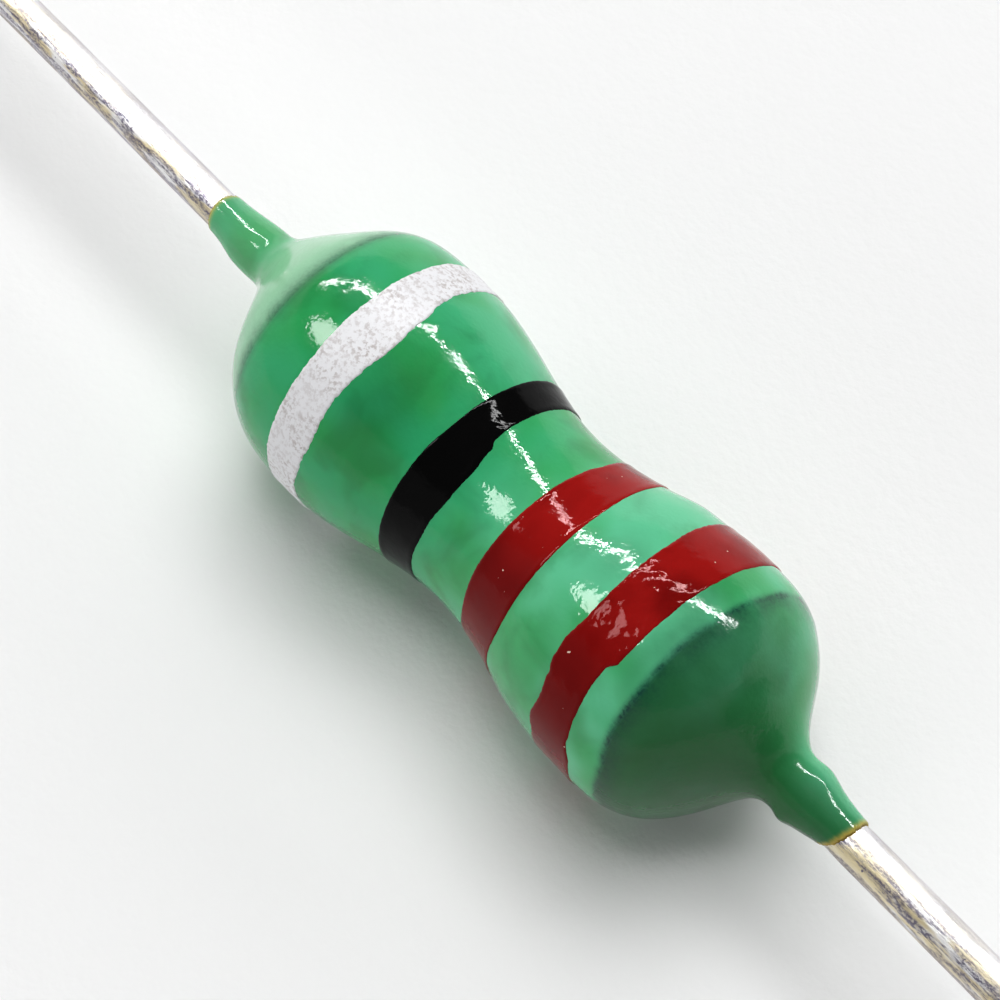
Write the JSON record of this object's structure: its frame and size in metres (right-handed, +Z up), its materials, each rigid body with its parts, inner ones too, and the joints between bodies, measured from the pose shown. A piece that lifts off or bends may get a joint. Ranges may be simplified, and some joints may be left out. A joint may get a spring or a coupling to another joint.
{
  "type": "axial inductor",
  "caption": "Axial-lead inductor: a wound ferrite drum core in a dog-bone epoxy coat with necks along the leads and painted colour-code bands.",
  "frame": {"origin": "middle of the body on the axis of the leads, halfway between the cut ends", "axes": "+X along the leads, from the tolerance band towards the first digit's band; +Z up from the surface that the body lies on"},
  "size_m": [0.064, 0.0042, 0.0042],
  "materials": {
    "ferrite": "sintered, matt",
    "enamelled_copper": "enamelled copper wire",
    "tinned_copper": "bright tin with drawing lines",
    "glue": "cured epoxy glue",
    "solder": "soft solder",
    "green_epoxy": "glossy dipped epoxy",
    "red_paint": "glossy marking paint",
    "black_paint": "glossy marking paint",
    "silver_paint": "metallic flake paint"
  },
  "bodies": {
    "root": {"ferrite_core": "ferrite", "copper_winding": "enamelled_copper", "digit_lead": "tinned_copper", "tolerance_lead": "tinned_copper", "digit_glue": "glue", "tolerance_glue": "glue", "digit_solder": "solder", "tolerance_solder": "solder", "epoxy_coat": "green_epoxy", "first_digit_band": "red_paint", "second_digit_band": "red_paint", "multiplier_band": "black_paint", "tolerance_band": "silver_paint"}
  },
  "joints": []
}
